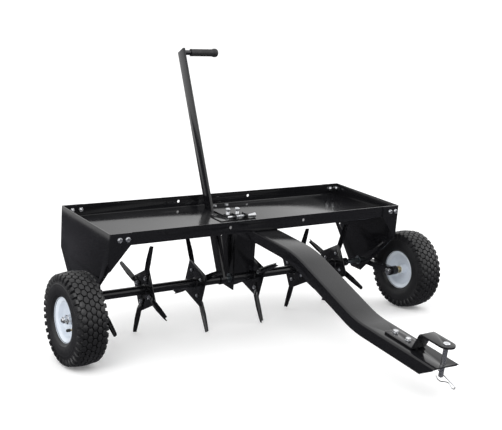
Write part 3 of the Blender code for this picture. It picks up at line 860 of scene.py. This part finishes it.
def cross_axle():
    """A drawn round bar with chamfered ends."""
    reach = CRANK_OUTER_X - 0.002
    radius = AXLE_RADIUS
    sections = [(-reach, radius - 0.0008), (-reach + 0.0008, radius)]
    sections += [(reach - 0.0008, radius), (reach, radius - 0.0008)]
    return moved(stacked(sections, 48), Matrix.Rotation(pi / 2, 4, "Y"))


def crank_arm(side):
    """A bar from the axle's end to a round boss that holds the wheel bolt."""
    bar = block((CRANK_INNER_X + 0.003, -CRANK_LENGTH, -0.009), (CRANK_OUTER_X - 0.003, 0.0, 0.009))
    hub = rod(0.014, CRANK_INNER_X, CRANK_OUTER_X, sides=48)
    boss = rod(0.0145, CRANK_INNER_X, CRANK_OUTER_X, centre=(-CRANK_LENGTH, 0.0), sides=48)
    arm = cut(
        united(hub, bar, boss),
        rod(AXLE_RADIUS + GAP, 0.0, 1.0),
        rod(WHEEL_BOLT_RADIUS + GAP, 0.0, 1.0, centre=(-CRANK_LENGTH, 0.0)),
    )
    arm = moved(bevelled(arm, 0.0008), lean(-CRANK_RISE))
    return arm if side > 0 else mirrored(arm)


def wheel_centre(side):
    y, z = -CRANK_LENGTH * cos(CRANK_RISE), CRANK_LENGTH * sin(CRANK_RISE)
    return at(side * WHEEL_X, y, z)


def along_x(shape, side):
    """Turns a shape built along +Z to point outwards from the machine's middle."""
    return moved(shape, Matrix.Rotation(side * pi / 2, 4, "Y"))


def wheel_bolt(side):
    """The bolt that a wheel turns on: head inside, thick washer and nut outside."""
    head = CRANK_INNER_X - GAP - WHEEL_X
    washer, nut = 0.0152, 0.0246
    radius = 0.0105 * cos(pi / 6)
    shape = stacked(
        [
            (head - 0.009, radius * 0.92), (head - 0.0078, 0.0105, True),
            (head - 0.0010, 0.0105, True), (head - 0.0009, 0.0104), (head, 0.0104),
            (head, WHEEL_BOLT_RADIUS), (washer, WHEEL_BOLT_RADIUS), (washer, 0.0126),
            (washer + 0.0006, 0.0130), (nut - 0.0006, 0.0130), (nut, 0.0126),
            *hexagon(nut, 0.0105, 0.0105), (nut + 0.0100, 0.0056),
            *threaded(nut + 0.0100, nut + 0.0150, 0.0055),
        ],
        48,
    )
    return moved(along_x(shape, side), wheel_centre(side))


def wheel_spacer(side):
    """The flanged sleeve between the crank arm and the wheel's hub."""
    start = CRANK_OUTER_X + GAP - WHEEL_X
    bore = WHEEL_BOLT_RADIUS + GAP
    profile = [(start, bore), (start, 0.0091), (start + 0.0004, 0.0095), (start + 0.012, 0.0085)]
    profile += [(start + 0.0124, 0.0108), (start + 0.0130, 0.0115)]
    profile += [(-0.0284, 0.0115), (-0.028, 0.0111), (-0.028, bore)]
    return moved(turned([(side * x, r) for x, r in profile], 48), wheel_centre(side))


def rim(side):
    """Two pressed dishes with rolled lips, a barrel for the tyre and a hub tube."""
    bore = WHEEL_BOLT_RADIUS + GAP
    face = [(0.0149, HUB_RADIUS), (0.0068, 0.0170), (0.0052, 0.036)]
    face += [(0.0150, 0.0465), (0.0285, 0.0500), (0.0322, 0.0610)]
    back = [(-0.0322, 0.0610), (-0.0285, 0.0500), (-0.0150, 0.0465)]
    back += [(-0.0032, 0.036), (-0.0048, 0.0170), (-0.0120, HUB_RADIUS)]
    front_curve = [tuple(p) for p in filleted(face, (0.003, 0.012, 0.010, 0.006))]
    back_curve = [tuple(p) for p in filleted(back, (0.006, 0.010, 0.012, 0.003))]
    profile = [(0.0149, bore), (0.0149, HUB_RADIUS - 0.0008)] + front_curve
    lip = [(0.0330 + 0.0015 * cos(a), 0.0607 + 0.0013 * sin(a)) for a in (1.0, 0.3, -0.2)]
    profile += lip[::-1]
    profile += [(0.0310, 0.0610), (0.0280, BEAD_RADIUS), (-0.0280, BEAD_RADIUS), (-0.0310, 0.0610)]
    profile += [(-x, r) for x, r in lip]
    profile += back_curve + [(-0.0277, HUB_RADIUS - 0.0006), (-0.0277, bore)]
    wheel = turned([(side * x, r) for x, r in profile], 128)
    wheel = cut(wheel, rod(0.0040, -0.02, 0.06, "X", VALVE_PLACE))
    return moved(wheel, wheel_centre(side))


def valve_stem(side):
    """A short brass stem with a rubber foot."""
    sections = [(-0.004, 0.0030), (0.0070, 0.0030), (0.0072, 0.0038), (0.0110, 0.0034)]
    sections += [(0.0112, 0.0030), *threaded(0.0115, 0.0310, 0.0029, 0.0008)]
    shape = moved(along_x(stacked(sections, 24), side), at(0.0, *VALVE_PLACE))
    return moved(shape, wheel_centre(side))


def valve_cap(side):
    """A ribbed screw cap on the end of the valve stem."""
    rings = []
    outline = ((0.0310, 0.0040), (0.0314, 0.0042), (0.0398, 0.0041))
    for z, radius in (*outline, (0.0415, 0.0034), (0.0420, 0.0020)):
        ring = []
        for i in range(36):
            rib = 0.0002 if i % 3 == 0 and z < 0.041 else 0.0
            ring.append((*polar(radius - rib, 2 * pi * i / 36), z))
        rings.append(ring)
    shape = moved(along_x(loft(rings), side), at(0.0, *VALVE_PLACE))
    return moved(shape, wheel_centre(side))


def crown(x):
    """The tyre's outer radius over its tread, at a distance from its middle."""
    return TYRE_RADIUS - 0.0046 * (abs(x) / 0.034) ** 2.2


def tread_block(angle, x, pitch):
    """One six-sided tread block, with a rounded edge, standing on the carcass."""
    half = ((0.667, 0.0), (0.333, 0.5), (-0.333, 0.5))
    corners = (*half, *((-across, -along) for across, along in half))
    rings = []
    for depth, share in ((TREAD_DEPTH + 0.0012, 0.90), (0.0008, 0.83), (0.0003, 0.80), (0.0, 0.74)):
        ring = []
        for across, along in corners:
            place = x + across * TREAD_COLUMN * share
            radius = crown(place) - depth
            ring.append((place, *polar(radius, angle + along * pitch * share)))
        rings.append(ring)
    return rings


def shoulder_lug(angle, side, pitch):
    """One lug that wraps round the tyre's shoulder."""
    rings = []
    profile = ((0.0300, 0.1205), (0.0345, 0.1238), (0.0400, 0.1205))
    profile += ((0.0426, 0.1120), (0.0412, 0.1040))
    for along, sink in ((-0.34, 0.0034), (-0.27, 0.0), (0.27, 0.0), (0.34, 0.0034)):
        ring = []
        for x, radius in profile:
            taper = 1.0 - 0.35 * (0.1226 - radius) / 0.0186
            turn = angle + along * pitch * taper
            ring.append((side * (x - sink * 0.5), *polar(radius - sink, turn)))
        for x, radius in ((0.0340, 0.1060), (0.0290, 0.1150)):
            ring.append((side * x, *polar(radius, angle + along * pitch)))
        rings.append(ring)
    return rings


def shoulder_rib(angle, side, pitch):
    """One of the fine ribs that ring the top of the sidewall."""
    rings = []
    for along, lift in ((-0.09, -0.0006), (0.0, 0.0005), (0.09, -0.0006)):
        turn = angle + along * pitch
        ring = []
        for x, radius in ((0.0403, 0.1030), (0.0412, 0.0990), (0.0400, 0.0990), (0.0390, 0.1030)):
            ring.append((side * (x + lift), *polar(radius, turn)))
        rings.append(ring)
    return rings


def carcass_profile():
    """The tyre's closed section: smooth walls with two thin raised rings, open to the rim."""
    outer = [(0.0272, BEAD_RADIUS + 0.0008), (0.0338, RIM_RADIUS + 0.0004)]
    outer += [(0.0385, 0.0672), (0.0412, 0.074), (0.0425, 0.082), (0.0425, 0.090), (0.0418, 0.0955)]
    outer += [(0.0410, 0.100), (0.0395, 0.106), (0.0368, 0.1125), (0.0325, 0.1172)]
    outer += [(x, crown(x) - TREAD_DEPTH) for x in (0.026, 0.016, 0.008)]
    wall = [tuple(p) for p in smooth_path(outer, 4)]
    wall = [(x + ring_height(r), r) for x, r in wall]
    inner = [(0.0215, BEAD_RADIUS + 0.0008), (0.0290, 0.068), (0.0350, 0.090), (0.0290, 0.112)]
    profile = wall + [(0.0, TYRE_RADIUS - TREAD_DEPTH)] + [(-x, r) for x, r in wall[::-1]]
    return profile + [(-x, r) for x, r in inner] + [(0.0, 0.118)] + inner[::-1]


def ring_height(radius):
    """How far the sidewall's raised rings stand out at a radius."""
    return sum(0.0005 for middle in (0.0705, 0.0965) if abs(radius - middle) < 0.0011)


def tyre(side):
    """A tyre with staggered six-sided tread blocks, shoulder lugs and a ribbed upper wall."""
    pitch = 2 * pi / TREAD_ROWS
    tread = bmesh.new()
    for row in range(TREAD_ROWS):
        for column in range(-2, 3):
            angle = pitch * (row + 0.5 * (column % 2))
            skin(tread, tread_block(angle, column * TREAD_COLUMN, pitch))
        for wall in (-1, 1):
            skin(tread, shoulder_lug(pitch * (row + 0.5), wall, pitch))
            for third in range(3):
                skin(tread, shoulder_rib(pitch * (row + third / 3), wall, pitch))
    carcass = turned(carcass_profile(), 176)
    return moved(joined([object_of(tread), carcass]), wheel_centre(side))


# ---- tine gangs


def weld_bead(x, radius, side):
    """A rippled fillet weld round a tube, against one face of a plate."""
    rings = []
    steps = 96
    for i in range(steps):
        angle = 2 * pi * i / steps
        ripple = 1.0 + 0.16 * sin(angle * 21) + 0.08 * sin(angle * 13 + 1.3)
        size = 0.0026 * ripple
        profile = [(x, radius - 0.001), (x, radius + size)]
        profile += [(x + side * size * 0.55, radius + size * 0.50)]
        profile += [(x + side * size, radius - 0.0003), (x + side * size * 0.6, radius - 0.001)]
        rings.append([(a, *polar(r, angle)) for a, r in profile])
    return loft(rings, cyclic=True)


def tine_shaft(tube_span, stars):
    """A tube with three square plates welded to it, each turned to its own angle."""
    low, high = tube_span
    bore = TUBE_BORE
    tube = turned(
        [
            (low, bore), (low, TUBE_RADIUS - 0.0005), (low + 0.0005, TUBE_RADIUS),
            (high - 0.0005, TUBE_RADIUS), (high, TUBE_RADIUS - 0.0005), (high, bore),
        ],
        64,
    )
    shapes = [tube]
    half = PLATE_SHEET / 2
    for x, phase, _ in stars:
        outline = []
        for quarter in range(4):
            corner = radians(phase + 90 * quarter)
            for offset in (-0.06, 0.06):
                outline.append(polar(PLATE_HALF_DIAGONAL, corner + offset))
        plate = prism(outline, x - half, x + half)
        plate = cut(plate, rod(TUBE_RADIUS - 0.0005, x - 0.01, x + 0.01, sides=64))
        shapes.append(bevelled(plate, 0.0005))
        shapes.append(weld_bead(x + half, TUBE_RADIUS, 1))
        shapes.append(weld_bead(x - half, TUBE_RADIUS, -1))
    return joined(shapes)


def tine_section(radius):
    """Half width and trough depth of a tine at a distance from its axle."""
    stations = (
        (TINE_ROOT, 0.0095, 0.0), (0.046, 0.0095, 0.0), (0.066, 0.0098, 0.0075),
        (0.100, 0.0092, 0.0090), (0.140, 0.0064, 0.0075), (TINE_REACH, 0.0055, 0.0065),
    )
    for (r0, w0, b0), (r1, w1, b1) in zip(stations, stations[1:]):
        if radius <= r1:
            t = (radius - r0) / (r1 - r0)
            ease = t * t * (3 - 2 * t) if b0 == 0.0 or b1 == 0.0 else t
            return w0 + (w1 - w0) * t, b0 + (b1 - b0) * ease
    return stations[-1][1:]


def tine_shape():
    """One spoon along +Z: a flat root that rolls into a tapered, open trough with a slant tip."""
    across = [-1 + 2 * i / 16 for i in range(17)]
    rings = []
    count = 34
    for i in range(count + 1):
        radius = TINE_ROOT + (TINE_REACH - TINE_ROOT) * i / count
        half_width, bulge = tine_section(radius)
        tip = max(0.0, (radius - 0.138) / (TINE_REACH - 0.138))
        outside = []
        inside = []
        for s in across:
            height = bulge * (1 - abs(s) ** 2.6)
            reach = radius - tip * 0.0050 * (s + 1) / 2
            outside.append((height + TINE_SHEET, s * half_width, reach))
            inside.append((height, s * half_width * 0.93, reach))
        rings.append(outside + inside[::-1])
    shape = loft(rings)
    hole = rod(0.0019, -0.02, 0.02, "X", (0.0004, 0.1405), 20)
    root_hole = rod(0.0033, -0.02, 0.02, "X", (0.0, TINE_BOLT), 20)
    return bevelled(cut(shape, hole, root_hole), 0.00035)


def tine_place(x, angle, side):
    seat = PLATE_SHEET / 2 + GAP
    turn = lean(angle - pi / 2)
    mirror = Matrix.Scale(side, 4, (1, 0, 0))
    return at(x + side * seat, 0.0, 0.0) @ turn @ mirror


def tine_bolts(stars):
    """A bolt through each tine and its plate: head on the tine, nut on the plate's far side."""
    shapes = []
    for x, phase, side in stars:
        for quarter in range(4):
            angle = radians(phase + 90 * quarter)
            y, z = polar(TINE_BOLT, angle)
            tine_face = x + side * (PLATE_SHEET / 2 + GAP + TINE_SHEET)
            plate_face = x - side * PLATE_SHEET / 2
            shapes.append(pointing(small_bolt(0.0058, 0.0044), (side, 0, 0), (tine_face, y, z)))
            nut = small_nut(0.0058, 0.0042, 0.0020)
            shapes.append(pointing(nut, (-side, 0, 0), (plate_face, y, z)))
    return joined(shapes)


# ---- latch


def latch_bracket():
    """A base plate round the front of the lever's slot, with two ears that guide the latch pin."""
    low = TRAY_FLOOR + GAP
    slot_left, slot_right = LEVER_X - 0.007, LEVER_X + 0.007
    plate = ((slot_left, 0.026), (-0.086, 0.026), (-0.086, -0.0437))
    plate += ((0.018, -0.0437), (0.018, 0.026))
    notch = ((slot_right, 0.026), (slot_right, -0.039), (slot_left, -0.039))
    base = prism(plate + notch, low, low + LATCH_BASE, "Z")
    corner = (polar(0.006, pi - i * pi / 16) for i in range(9))
    half = [(-0.012, low)] + [(a - 0.006, 0.2105 + b) for a, b in corner]
    side = half + [(-y, z) for y, z in half[::-1]]
    ears = [prism([(LATCH_Y + y, z) for y, z in side], x, x + EAR_SHEET) for x in EAR_PLACES]
    hole = rod(LATCH_RADIUS + GAP, -0.05, 0.05, centre=(LATCH_Y, LATCH_HEIGHT))
    return bevelled(cut(united(base, *ears), hole), 0.0004)


def latch_pin():
    """The sliding rod with a collar for its spring and a flared knob at its outer end."""
    shape = stacked(
        [
            (-0.0550, 0.0026), (-0.0538, LATCH_RADIUS), (-0.0310, LATCH_RADIUS),
            (-0.0310, 0.0047), (-0.0307, 0.0050), (-0.0289, 0.0050), (-0.0286, 0.0047),
            (-0.0286, LATCH_RADIUS), (0.0205, LATCH_RADIUS), (0.0225, 0.0044),
            (0.0260, 0.0049), (0.0350, 0.0061), (0.0418, 0.0073), (0.0430, 0.0073),
            (0.0435, 0.0068),
        ]
    )
    return moved(along_x(shape, 1), at(0.0, LATCH_Y, LATCH_HEIGHT))


def latch_pull():
    """A black rubber ring pushed onto the pin outside its bracket."""
    profile = []
    for i in range(16):
        a, b = polar(0.0018, 2 * pi * i / 16)
        profile.append((0.0130 + a * 1.5, 0.0054 + b))
    return moved(turned(profile, 40), at(0.0, LATCH_Y, LATCH_HEIGHT))


def latch_spring():
    """A compression spring round the latch pin, with closed ends, from its collar to the ear."""
    start, end = SPRING_SPAN
    wire = 0.0006
    first, last = start + wire + 0.0003, end - wire - 0.0003
    turns, steps, closed = 8, 20, 0.0013
    points = []
    for i in range(turns * steps + 1):
        turn = i / steps
        open_share = min(max((turn - 1) / (turns - 2), 0.0), 1.0)
        ends = min(turn, 1.0) + max(turn - turns + 1, 0.0)
        a, b = polar(0.0046, 2 * pi * turn)
        x = first + closed * ends + (last - first - 2 * closed) * open_share
        points.append((x, LATCH_Y + a, LATCH_HEIGHT + b))
    return tube_along(points, wire, 8)


def tall_bolt(x, y):
    """A bolt that stands up through the latch base with a hexagon nut near its top."""
    seat = TRAY_FLOOR + LATCH_BASE + 2 * GAP
    shape = stacked(
        [
            *threaded(seat, seat + 0.0120, 0.0058, 0.0015),
            *hexagon(seat + 0.0120, 0.0070, 0.0082), (seat + 0.0186, 0.0050),
            (seat + 0.0198, 0.0055), (seat + 0.0202, 0.0048),
        ]
    )
    return moved(shape, at(x, y, 0.0))


# ---- assembly


def build_frame(finishes):
    black, zinc = finishes["black"], finishes["zinc"]
    piece("tray_sheet", tray(), black, "frame", ["tray"])
    for name, side in (("left", -1), ("right", 1)):
        piece(f"{name}_end_sheet", end_panel(side), black, "frame", [f"{name}_end_panel"])
        inner = PANEL_OUTER_X - PANEL_SHEET
        low, high = inner - 0.0023, PANEL_OUTER_X + 0.002
        bush = axle_bush(low, high, low, inner - GAP)
        bush = bush if side > 0 else mirrored(bush)
        piece(f"{name}_bearing", bush, finishes["bearing"], "frame", [f"{name}_axle_bush"])
    bush = axle_bush(-0.0156, -0.0088, -0.0156, -0.0133)
    piece("centre_bearing", bush, finishes["bearing"], "frame", ["centre_axle_bush"])
    piece("centre_hanger", centre_bearing_plate(), black, "frame", ["centre_bearing_plate"])
    piece("tow_channel", tow_bar(), black, "frame", ["tow_bar"])
    piece("hitch_flat", hitch_strap(), black, "frame", ["hitch_strap"])
    for name, y in zip(("rear", "front"), HITCH_BOLTS):
        piece(f"{name}_hitch_screw", hitch_bolt(y), zinc, "frame", [f"{name}_hitch_bolt"])
    piece("tray_fasteners", tray_fasteners(), zinc, "frame")
    piece("latch_guide", latch_bracket(), black, "frame", ["latch_bracket"])
    piece("left_tall_bolt", tall_bolt(-0.026, 0.0165), zinc, "frame", ["left_tray_bolt"])
    piece("right_tall_bolt", tall_bolt(0.007, 0.0150), zinc, "frame", ["right_tray_bolt"])


def build_latch(finishes):
    piece("latch_rod", latch_pin(), finishes["zinc"], "latch_pin", ["latch_pin"])
    piece("latch_pull", latch_pull(), finishes["grip"], "latch_pin")
    spring = piece("latch_coil", latch_spring(), finishes["zinc"], None, ["latch_spring"])
    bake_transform(spring)


def build_hitch(finishes):
    piece("hitch_pin_rod", hitch_pin(), finishes["zinc"], "hitch_pin", ["hitch_pin"])
    piece("hitch_clip_wire", hitch_pin_clip(), finishes["zinc"], "hitch_clip", ["hitch_pin_clip"])


def build_lift(finishes):
    black, zinc, brass = finishes["black"], finishes["zinc"], finishes["brass"]
    piece("lever_bar", lift_lever(), black, "lift", ["lift_lever"])
    piece("lever_sleeve", lever_grip(), finishes["grip"], "lift", ["lever_grip"])
    piece("axle_bar", cross_axle(), finishes["axle"], "lift", ["cross_axle"])
    for name, side in (("left", -1), ("right", 1)):
        piece(f"{name}_crank", crank_arm(side), black, "lift", [f"{name}_crank_arm"])
        piece(f"{name}_wheel_screw", wheel_bolt(side), zinc, "lift", [f"{name}_wheel_bolt"])
        piece(f"{name}_spacer", wheel_spacer(side), brass, "lift", [f"{name}_wheel_spacer"])


def build_wheels(finishes):
    for name, side in (("left", -1), ("right", 1)):
        body = f"{name}_wheel"
        piece(f"{name}_wheel_rim", rim(side), finishes["rim"], body, [f"{name}_rim"])
        piece(f"{name}_wheel_tyre", tyre(side), finishes["tyre"], body, [f"{name}_tyre"])
        piece(f"{name}_valve", valve_stem(side), finishes["brass"], body, [f"{name}_valve_stem"])
        piece(f"{name}_valve_cap", valve_cap(side), finishes["grip"], body)


def build_gangs(finishes):
    black, zinc = finishes["black"], finishes["zinc"]
    pattern = tine_shape()
    for name, span, stars in (("left", LEFT_TUBE, LEFT_STARS), ("right", RIGHT_TUBE, RIGHT_STARS)):
        body = f"{name}_tine_gang"
        piece(f"{name}_gang_shaft", tine_shaft(span, stars), black, body, [f"{name}_tine_shaft"])
        piece(f"{name}_tine_bolts", tine_bolts(stars), zinc, body)
        for place, (x, phase, side) in zip(("outer", "middle", "inner"), ordered(stars)):
            for quarter in range(4):
                spoon = bpy.data.objects.new("spoon", pattern.data.copy())
                bpy.context.scene.collection.objects.link(spoon)
                moved(spoon, tine_place(x, radians(phase + 90 * quarter), side))
                node = f"{name}_{place}_tine_{quarter + 1}"
                piece(f"{name}_{place}_spoon_{quarter + 1}", spoon, black, body, [node])
    bpy.data.objects.remove(pattern)


def ordered(stars):
    """The stars from the wheel's end of the shaft to the machine's middle."""
    return sorted(stars, key=lambda star: -abs(star[0]))


# ---- studio


def floor():
    """A wide pale floor under the tyres, which the gloss of the paint doesn't mirror."""
    made = block((-1500.0, -1500.0, -0.02), (1500.0, 1500.0, 0.0))
    made.name = "floor"
    finish = Finish("pale_floor")
    finish.settings(Roughness=0.9, Emission_Color=(1.0, 1.0, 1.0, 1.0), Emission_Strength=0.12)
    finish.colour(finish.mixed(finish.noise(0.8), (0.96, 0.96, 0.96), (0.98, 0.98, 0.98)))
    made.data.materials.append(finish.material)
    made.visible_glossy = False


def studio_world():
    """White light from above that falls off to dark below the horizon."""
    world = bpy.data.worlds.new("studio")
    bpy.context.scene.world = world
    world.use_nodes = True
    tree = world.node_tree
    background = tree.nodes["Background"]
    coordinates = tree.nodes.new("ShaderNodeTexCoord")
    split = tree.nodes.new("ShaderNodeSeparateXYZ")
    ramp = tree.nodes.new("ShaderNodeValToRGB")
    tree.links.new(coordinates.outputs["Generated"], split.inputs[0])
    height = tree.nodes.new("ShaderNodeMapRange")
    height.inputs["From Min"].default_value = -0.020
    height.inputs["From Max"].default_value = -0.004
    tree.links.new(split.outputs["Z"], height.inputs["Value"])
    tree.links.new(height.outputs["Result"], ramp.inputs[0])
    tree.links.new(ramp.outputs[0], background.inputs["Color"])
    ramp.color_ramp.elements[0].color = (0.09, 0.09, 0.10, 1.0)
    ramp.color_ramp.elements[1].color = (1.0, 1.0, 1.0, 1.0)
    background.inputs["Strength"].default_value = 1.12


def soft_light(name, place, target, size, power):
    light = bpy.data.lights.new(name, "AREA")
    light.shape = "RECTANGLE"
    light.size, light.size_y = size
    light.energy = power
    made = bpy.data.objects.new(name, light)
    made.location = place
    made.rotation_euler = (Vector(target) - Vector(place)).to_track_quat("-Z", "Y").to_euler()
    bpy.context.scene.collection.objects.link(made)


def camera():
    """Looks down on the machine from its front left, level with the horizon."""
    made = bpy.data.objects.new("camera", bpy.data.cameras.new("camera"))
    bpy.context.scene.collection.objects.link(made)
    bpy.context.scene.camera = made
    made.data.lens = CAMERA_LENS
    made.data.sensor_width = 36.0
    forward, down = Vector(CAMERA_FORWARD).normalized(), Vector(CAMERA_DOWN)
    up = -(down - forward * down.dot(forward)).normalized()
    right = forward.cross(up)
    turn = Matrix((right, up, -forward)).transposed().to_4x4()
    made.matrix_world = MACHINE @ at(*CAMERA_PLACE) @ turn


def machine_frame(joints):
    """The design frame's place: its origin is on the lift's axle, pitched nose down."""
    lift = next(joint for joint in joints if joint["name"] == "lift")
    return at(*lift["pos_m"]) @ lean(PITCH)


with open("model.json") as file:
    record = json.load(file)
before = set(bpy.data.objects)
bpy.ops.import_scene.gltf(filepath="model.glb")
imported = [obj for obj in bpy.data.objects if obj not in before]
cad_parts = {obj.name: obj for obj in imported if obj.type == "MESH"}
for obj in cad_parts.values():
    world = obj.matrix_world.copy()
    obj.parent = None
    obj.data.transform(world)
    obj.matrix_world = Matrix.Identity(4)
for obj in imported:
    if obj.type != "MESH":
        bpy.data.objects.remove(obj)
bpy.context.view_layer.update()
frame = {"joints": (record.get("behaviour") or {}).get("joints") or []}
MACHINE = machine_frame(frame["joints"])
finishes = {
    "black": powder_coat(),
    "zinc": bright_zinc(),
    "brass": yellow_zinc(),
    "axle": dull_zinc("bright_zinc"),
    "bearing": dull_zinc("yellow_zinc"),
    "rim": rim_paint(),
    "tyre": tyre_rubber(),
    "grip": grip_rubber(),
}
build_frame(finishes)
build_latch(finishes)
build_hitch(finishes)
build_lift(finishes)
build_wheels(finishes)
build_gangs(finishes)
floor()
studio_world()
soft_light("key", (-2.6, -2.0, 3.2), (0.0, 0.0, 0.2), (2.4, 2.4), 60.0)
soft_light("fill", (3.0, -1.6, 2.4), (0.0, 0.0, 0.2), (2.0, 2.0), 20.0)
camera()
bpy.context.scene.view_settings.view_transform = "Standard"
